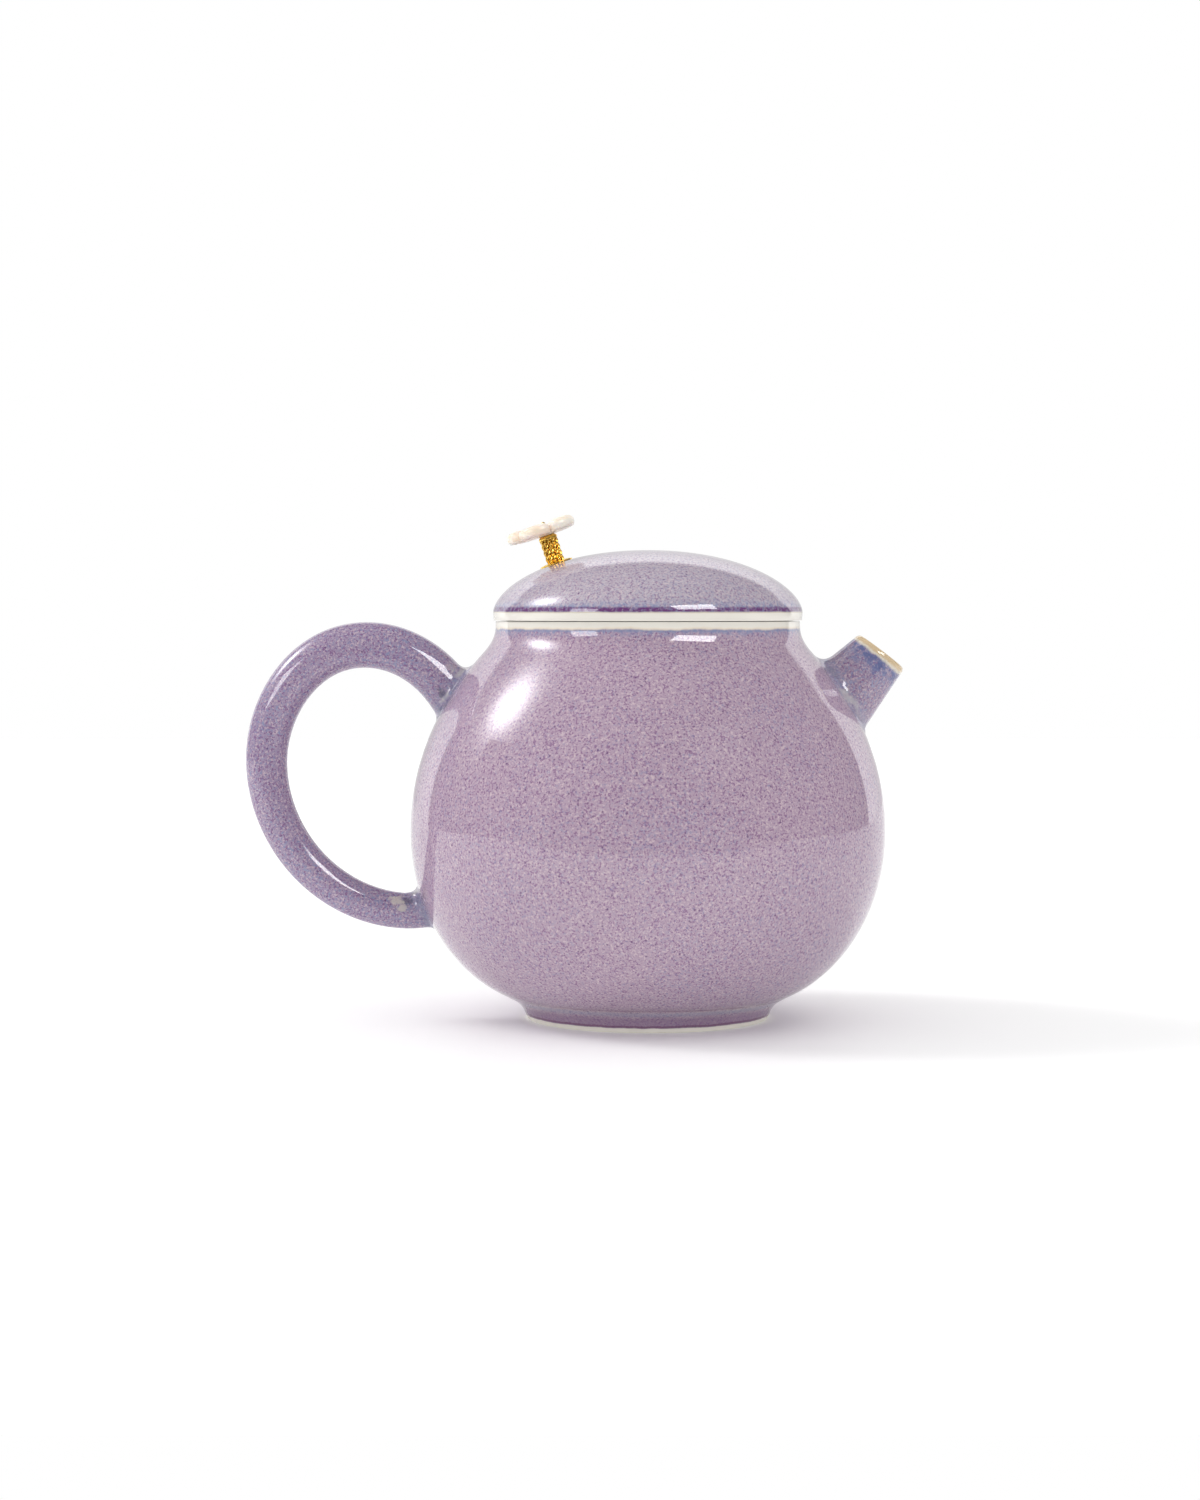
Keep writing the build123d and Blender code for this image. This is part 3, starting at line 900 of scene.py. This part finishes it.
def rope_tree(finish):
    """Wires of two twisted strands, stood in a ring."""
    sizes = dict.fromkeys(("Ring Radius", "Strand Radius", "Pitch", "Height"), "NodeSocketFloat")
    bench, inlet = node_group("rope_wires", {"Wires": "NodeSocketInt", **sizes})
    top = bench.add("ShaderNodeCombineXYZ", None, {"Z": inlet["Height"]})
    line = bench.add("GeometryNodeCurvePrimitiveLine", None, {"End": top})
    fine = bench.add("GeometryNodeResampleCurve", None, {"Curve": line, "Count": 60})
    place = bench.add("GeometryNodeInputPosition")
    up = bench.add("ShaderNodeSeparateXYZ", None, {"Vector": place}, "Z")
    turn = up / inlet["Pitch"] * math.tau
    cosine = bench.add("ShaderNodeMath", {"operation": "COSINE"}, {0: turn}) * inlet["Strand Radius"]
    sine = bench.add("ShaderNodeMath", {"operation": "SINE"}, {0: turn}) * inlet["Strand Radius"]
    swing = bench.add("ShaderNodeCombineXYZ", None, {"X": cosine, "Y": sine})
    helix = bench.add("GeometryNodeSetPosition", None, {"Geometry": fine, "Offset": swing})
    around = {"Resolution": 10, "Radius": inlet["Strand Radius"]}
    section = bench.add("GeometryNodeCurvePrimitiveCircle", None, around)
    swept = {"Curve": helix, "Profile Curve": section, "Fill Caps": True}
    strand = bench.add("GeometryNodeCurveToMesh", None, swept)
    half_turn = {"Geometry": strand, "Rotation": (0.0, 0.0, math.pi)}
    partner = bench.add("GeometryNodeTransform", None, half_turn)
    pair = bench.tree.nodes.new("GeometryNodeJoinGeometry")
    bench.tree.links.new(strand.socket, pair.inputs[0])
    bench.tree.links.new(partner.socket, pair.inputs[0])
    round_tube = {"Vertices": inlet["Wires"], "Radius": inlet["Ring Radius"]}
    ring = bench.add("GeometryNodeMeshCircle", None, round_tube)
    spin = bench.add("FunctionNodeRandomValue", {"data_type": "FLOAT"}, {2: 0.0, 3: math.pi, "Seed": 7}, 1)
    angle = bench.add("ShaderNodeCombineXYZ", None, {"Z": spin})
    row = {"Points": ring, "Instance": Wire(bench, pair.outputs[0]), "Rotation": angle}
    close_group(bench, bench.add("GeometryNodeInstanceOnPoints", None, row), finish)
    return bench.tree


spout_frame = leaning(SPOUT_ACROSS, SPOUT_AXIS, SPOUT_POINT + SPOUT_AXIS * STRAINER_CENTRE)
placed(strainer, spout_frame.inverted())
strainer_sizes = {"Hole Radius": STRAINER_HOLE_R * MM, "Reach": STRAINER_R * MM}
strainer = grown(strainer, strainer_tree(inner_glaze), strainer_sizes, "strainer_dome")
placed(strainer, spout_frame)
strainer.data.shade_smooth()
strainer.data.set_sharp_from_angle(angle=math.radians(40))

# ---- lid

crown = bezier(CROWN_POLES, np.linspace(0, 1, 90) ** 1.2)
vault = bezier(VAULT_POLES, np.linspace(1, 0, 90))
vault = vault[vault[:, 0] < FLANGE_INNER_R - 1.6]
collar_wall = [(FLANGE_INNER_R, vault[-1][1] - 3.2), (FLANGE_INNER_R, SEAT)]
lid_brim = rounded([(24.5, SEAT, 0), (LID_R, SEAT, GLAZED_EDGE), (LID_R, LID_EDGE, 0)])
lid = turned("lid_crown", list(vault) + collar_wall + lid_brim + list(crown[1:]))
vent_mouth = [(VENT_R + 0.15, 89.75), (VENT_R + 0.6, 90.1), (VENT_R + 1.2, 90.4), (VENT_R + 1.2, 93)]
vent = turned("vent_cutter", [(0, 80), (VENT_R, 80), (VENT_R, 89.4), *vent_mouth, (0, 93)], segments=48)
placed(vent, Matrix.Translation((0, VENT_Y * MM, 0)))
lid = cut(lid, vent, math.radians(40))
collar_top, collar_low = SEAT + 0.05, SEAT - FLANGE_DEPTH
collar = [(FLANGE_INNER_R, collar_top, 0), (FLANGE_INNER_R, collar_low, 0.7)]
collar += [(FLANGE_OUTER_R, collar_low, 0.7), (FLANGE_OUTER_R, collar_top, 0)]
flange = turned("lid_collar", rounded(collar, 8), closed=True, sharp=math.radians(50))

# ---- knob, in its own upright frame

knob_cos, knob_sin = math.cos(KNOB_TILT), math.sin(KNOB_TILT)
knob_frame = leaning((knob_cos, 0, knob_sin), (-knob_sin, 0, knob_cos), KNOB_FOOT)

plate_line = [(0, -0.45, 0), (PLATE_R - 0.1, -0.45, 0.1), (PLATE_R, 0.12, 0.06)]
plate_line += [(2.2, PLATE_HEIGHT, 0.3), (0, PLATE_HEIGHT, 0)]
plate = turned("knob_plate", rounded(plate_line), segments=96)
cup_low = FLOWER_BASE - CUP_HEIGHT
cup_line = [(0, cup_low, 0), (CUP_R, cup_low, 0.08)]
cup_line += [(CUP_R, FLOWER_BASE, 0.62), (0, FLOWER_BASE + 0.02, 0)]
cup = turned("knob_cup", rounded(cup_line, 8), segments=96)
pin_neck = FLOWER_BASE + FLOWER_THICKNESS
pin_ball = [
    (PIN_HEAD_R * math.cos(turn), pin_neck + 0.4 + PIN_HEAD_R * math.sin(turn))
    for turn in np.linspace(-0.7, math.pi / 2, 14)
]
pin_shaft = [(0, FLOWER_BASE), (PIN_R, FLOWER_BASE), (PIN_R, pin_neck)]
pin = turned("flower_pin_ball", pin_shaft + pin_ball, segments=32)
ropes = piece("ropes", [(0, 0, 0)], [])
ropes = grown(
    ropes,
    rope_tree(gold),
    {
        "Wires": ROPE_COUNT,
        "Ring Radius": (TUBE_R + ROPE_R) * MM,
        "Strand Radius": ROPE_R / 2 * MM,
        "Pitch": ROPE_PITCH * MM,
        "Height": (POST_HEIGHT - CUP_HEIGHT + 0.1) * MM,
    },
    "knob_ropes",
)
placed(ropes, Matrix.Translation((0, 0, (PLATE_HEIGHT - 0.05) * MM)))
ropes.data.shade_smooth()


def carved_flower():
    """Five cupped petals carved from one piece of shell, with rounded edges and nearly flat undersides."""
    columns = 300
    lifts = (1.0, 0.85, 1.0, 1.1, 0.9)
    tops, unders, edges = [], [], []
    for column in range(columns):
        angle = column * math.tau / columns
        turn = (angle - math.pi) % math.tau / (math.tau / 5)
        petal = int(round(turn)) % 5
        share = abs(turn - round(turn)) * 2
        reach = FLOWER_VALLEY_R + (FLOWER_R - FLOWER_VALLEY_R) * (1 - share**2.2) ** 0.7 - 0.35
        lift = lifts[petal] * (1 - share**3) + 0.85 * share**3
        top, under = [], []
        for step in np.linspace(0.02, 1, 34):
            radius = reach * step
            rise = 1.2 * lift * (radius / FLOWER_R) ** 1.3
            valley = 0.35 * math.exp(-(((1 - share) * radius / 0.9) ** 2)) * min(1, radius / 2.0)
            dimple = 0.35 * math.exp(-((radius / 1.3) ** 2))
            slope = 0.55 * step**6
            ring = (math.cos(angle) * radius - FLOWER_SHIFT * step, math.sin(angle) * radius)
            top.append((*ring, FLOWER_BASE + FLOWER_THICKNESS + rise - valley - dimple - slope))
            under.append((*ring, FLOWER_BASE + 0.08 * rise + 0.2 * valley * step + 0.2 * step**6))
        edge = []
        high, low = np.array(top[-1]), np.array(under[-1])
        middle, half = (high + low) / 2, (high[2] - low[2]) / 2
        out = np.array((math.cos(angle), math.sin(angle), 0))
        for roll in np.linspace(-math.pi / 2, math.pi / 2, 11)[1:-1]:
            swell = out * math.cos(roll) * half * 0.75
            edge.append(middle + swell + np.array((0, 0, math.sin(roll) * half)))
        tops.append(top)
        unders.append(under)
        edges.append(edge)
    rows = np.concatenate([np.array(unders), np.array(edges), np.array(tops)[:, ::-1]], 1)
    return rows.transpose(1, 0, 2)


flower = tube("carved_flower", carved_flower())


def round_plate(name, radius, low, high, edge):
    corners = [(0, low, 0), (radius, low, edge), (radius, high, edge), (0, high, 0)]
    return turned(name, rounded(corners), segments=72)


gasket_low = -VAULT_DEPTH - GASKET_HEIGHT
nut_top = gasket_low - WASHER_HEIGHT
gasket = round_plate("silicone_gasket", GASKET_R, gasket_low, gasket_low + 2.0, 0.25)
washer = round_plate("steel_washer", WASHER_R, nut_top, gasket_low, 0.08)


def hexagon_nut(top):
    """A nut whose corners are turned off at 30 degrees."""
    columns = 96
    rows = []
    corner = NUT_ACROSS / 2 / math.cos(math.pi / 6)
    chamfer = ((0, 1.45), (0.12, 1.66), (0.24, corner))
    upper = tuple((NUT_HEIGHT - height, limit) for height, limit in chamfer[::-1])
    for height, limit in chamfer + upper:
        row = []
        for column in range(columns):
            angle = column * math.tau / columns
            flat = NUT_ACROSS / 2 / math.cos((angle + math.pi / 6) % (math.pi / 3) - math.pi / 6)
            radius = min(flat, limit)
            row.append((radius * math.cos(angle), radius * math.sin(angle), top - NUT_HEIGHT + height))
        rows.append(row)
    return np.array(rows)


def threaded_stud(top, bottom):
    """A stud with a triangular thread of 0.35 mm pitch."""
    columns, pitch = 32, 0.35
    rows = []
    heights = np.arange(bottom + 0.1, top, 0.06)
    for height in heights:
        row = []
        for column in range(columns):
            angle = column * math.tau / columns
            phase = (height / pitch - column / columns) % 1.0
            radius = STUD_R - 0.11 * abs(2 * phase - 1)
            radius = min(radius, STUD_R - 0.25 + (height - bottom))
            row.append((radius * math.cos(angle), radius * math.sin(angle), height))
        rows.append(row)
    return np.array(rows)


nut = tube("hex_nut", hexagon_nut(nut_top), sharp=math.radians(25))
stud = tube("threaded_stud", threaded_stud(-1.0, nut_top - NUT_HEIGHT - STUD_END))
for part in (plate, cup, pin, ropes, flower, gasket, washer, nut, stud):
    placed(part, knob_frame)

# ---- who stands for what

finished(belly, belly_glaze, "pot", "glazed_porcelain", "pot_shell")
finished(foot, foot_glaze, "pot", "glazed_porcelain", "foot_ring")
finished(handle, handle_glaze, "pot", "glazed_porcelain", "handle")
finished(spout, spout_glaze, "pot", "glazed_porcelain", "spout")
finished(strainer, inner_glaze, "pot", "glazed_porcelain", "ball_strainer")
finished(lid, lid_glaze, "lid", "glazed_porcelain", "lid_dome")
finished(flange, inner_glaze, "lid", "glazed_porcelain", "lid_flange")
finished(plate, gold, "lid", "gold_brass", "knob_base_plate")
finished(ropes, gold, "lid", "gold_brass", "knob_rope_wires")
finished(cup, gold, "lid", "gold_brass", "knob_top_cup")
finished(pin, gold, "lid", "gold_brass", "flower_pin")
finished(flower, mother_of_pearl, "lid", "mother_of_pearl", "shell_flower")
finished(stud, steel, "lid", "stainless", "knob_stud")
finished(gasket, silicone, "lid", "silicone", "lid_gasket")
finished(washer, steel, "lid", "stainless", "lid_washer")
finished(nut, steel, "lid", "stainless", "lid_nut")
tube_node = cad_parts["knob_tube"]
tube_node.data.materials.clear()
tube_node.data.materials.append(gold)

# ---- studio

scene = bpy.context.scene
scene.view_settings.view_transform = "Standard"
camera_data = bpy.data.cameras.new("camera")
camera_data.lens = 73.9
camera_data.sensor_width = 36.0
camera_data.clip_end = 50.0
camera = bpy.data.objects.new("camera", camera_data)
camera.location = (-0.0092, -0.594, 0.0803)
camera.rotation_euler = (math.radians(90 - 2.75), 0, 0)
scene.collection.objects.link(camera)
scene.camera = camera

TABLE_FRONT = -300
TABLE_BACK = 1200
TABLE_HALF = 1000
table_near = [(-TABLE_HALF, TABLE_FRONT, 0), (TABLE_HALF, TABLE_FRONT, 0)]
table_far = [(TABLE_HALF, TABLE_BACK, 0), (-TABLE_HALF, TABLE_BACK, 0)]
table = piece("table", table_near + table_far, [(0, 1, 2, 3)])
# Painted light: the table glows faintly, though it is no lamp, which lifts its shadow and lights the pot's
# underside.
table_finish, table_bench, table_shade = material(
    "pale_table", Roughness=0.5, Specular_IOR_Level=0.2, Emission_Color=(1, 1, 1, 1), Emission_Strength=0.07
)
fibre = table_bench.noise(table_bench.place(), 400.0, 3.0, 0.6)
paper = table_bench.tint((0.97, 0.97, 0.97, 1), (0.96, 0.96, 0.96, 1), fibre)
feed(table_bench, table_shade, Base_Color=paper)
table.data.materials.append(table_finish)

KEY_AIM = unit(np.array((-0.75, 0.18, 0.63)))
KEY_SPREAD = 0.105
KEY_STRENGTH = 17.0
HALO_SPREAD = 0.2
HALO_STRENGTH = 1.6


def studio_world():
    """A white backdrop, darkness in front, a soft key light, and an even fill that gloss doesn't see."""
    world = bpy.data.worlds.new("studio")
    world.use_nodes = True
    bench = Bench(world.node_tree)
    aim = bench.add("ShaderNodeTexCoord", None, None, "Generated")
    split = bench.tree.nodes.new("ShaderNodeSeparateXYZ")
    bench.tree.links.new(aim.socket, split.inputs[0])
    across, ahead, up = (Wire(bench, split.outputs[axis]) for axis in range(3))
    depth = ahead.most(0.001)
    sideways = abs(across) / depth
    upwards = up / depth
    backdrop = (1 - bench.step(sideways, 1.08, 1.12)) * (1 - bench.step(upwards, 0.64, 0.8))
    backdrop = backdrop * (0.6 + 0.85 * bench.step((sideways / 1.1).most(upwards / 0.77), 0.25, 1.0))
    nearness = bench.vector("DOT_PRODUCT", aim, tuple(KEY_AIM), "Value")
    core = bench.add("ShaderNodeMath", {"operation": "EXPONENT"}, {0: (nearness - 1) / KEY_SPREAD**2})
    key = core * KEY_STRENGTH
    halo = bench.add("ShaderNodeMath", {"operation": "EXPONENT"}, {0: (nearness - 1) / HALO_SPREAD**2})
    gloss = 0.2 + backdrop + key + halo * HALO_STRENGTH
    fill = 1.0 + key * 0.13
    ray = bench.tree.nodes.new("ShaderNodeLightPath")
    diffuse = Wire(bench, ray.outputs["Is Diffuse Ray"])
    seen = Wire(bench, ray.outputs["Is Camera Ray"])
    light = fill * diffuse + gloss * (1 - diffuse)
    light = light * (1 - seen) + 1.0 * seen
    shine = bench.add("ShaderNodeBackground", None, {"Color": (1, 1, 1, 1), "Strength": light})
    end = bench.tree.nodes.new("ShaderNodeOutputWorld")
    bench.tree.links.new(shine.socket, end.inputs[0])
    return world


scene.world = studio_world()


def window(name, aim, distance, width, height, radiance):
    """A rectangular light that faces the pot. Its power comes from its radiance and size."""
    data = bpy.data.lights.new(name, "AREA")
    data.shape = "RECTANGLE"
    data.size = width
    data.size_y = height
    data.energy = radiance * math.pi * width * height
    made = bpy.data.objects.new(name, data)
    made.location = Vector(aim).normalized() * distance + Vector((0, 0, 0.07))
    made.rotation_euler = Vector(aim).to_track_quat("Z", "Y").to_euler()
    made.visible_diffuse = False
    made.visible_camera = False
    scene.collection.objects.link(made)


window("bright_window", (0.50, -0.64, 0.60), 1.2, 0.62, 0.40, 13.0)
window("dim_window", (-0.72, -0.60, 0.35), 1.2, 0.42, 0.34, 7.0)


def flag(name, start, end, low, high):
    """A curved card in front of the pot that only reflections see. It glows a dim grey, like the dark room
    in front, so that it paints a dark reflection over the windows' glare on the belly.
    """
    columns, radius = 25, 65.0
    turns = [math.radians(start + (end - start) * column / (columns - 1)) for column in range(columns)]
    arc = [(radius * math.sin(turn), -radius * math.cos(turn)) for turn in turns]
    points = [(*spot, height) for height in (low, high) for spot in arc]
    faces = [(column, column + 1, columns + column + 1, columns + column) for column in range(columns - 1)]
    card = piece(name, points, faces)
    finish, bench, shade = material(name, Roughness=1.0, Specular_IOR_Level=0.0)
    card_speckle = bench.noise(bench.place(), 300.0)
    card_black = bench.tint((0, 0, 0, 1), (0.001, 0.001, 0.001, 1), card_speckle)
    # Painted reflection: the card glows dim grey, though it is no lamp, to show as dark room in the belly's
    # reflections.
    painted_dark_glow = bench.tint((0.19, 0.19, 0.19, 1), (0.21, 0.21, 0.21, 1), card_speckle)
    feed(bench, shade, Base_Color=card_black, Emission_Color=painted_dark_glow)
    shade.inputs["Emission Strength"].default_value = 1.0
    card.data.materials.append(finish)
    card.visible_camera = False
    card.visible_diffuse = False
    card.visible_shadow = False


flag("left_flag", -68, 0, 43.0, 72.0)
flag("right_flag", 0, 60, 50.0, 90.0)
